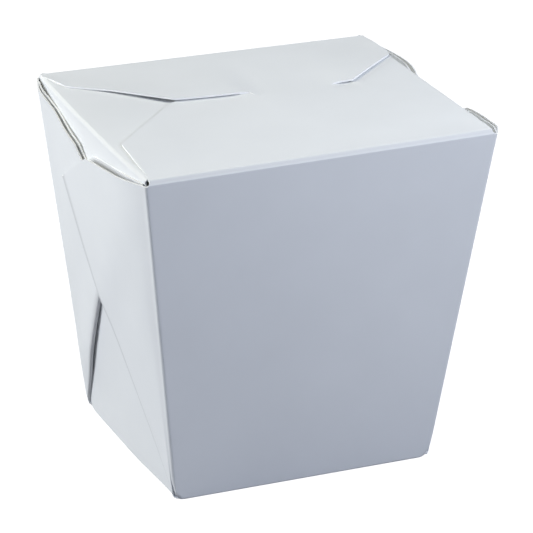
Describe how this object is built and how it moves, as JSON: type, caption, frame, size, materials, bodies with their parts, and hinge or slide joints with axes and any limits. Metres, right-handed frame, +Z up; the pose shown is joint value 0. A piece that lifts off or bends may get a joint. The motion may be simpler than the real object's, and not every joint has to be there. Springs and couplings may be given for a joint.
{
  "type": "noodle takeaway box",
  "caption": "Shut folded paperboard food carton that widens upwards, with gusset webs folded over its sides and interlocking top flaps.",
  "frame": {"origin": "middle of the underside, which the carton stands on", "axes": "+Z up; -Y towards the front panel; +X to the right of someone who faces the front panel. The folded webs lie on the -X and +X sides"},
  "size_m": [0.1223, 0.0896, 0.1051],
  "materials": {
    "paperboard": "matt white uncoated-looking solid bleached board, with brighter cut edges and softly crushed creases"
  },
  "bodies": {
    "root": {"folded_carton": "paperboard"}
  },
  "joints": []
}
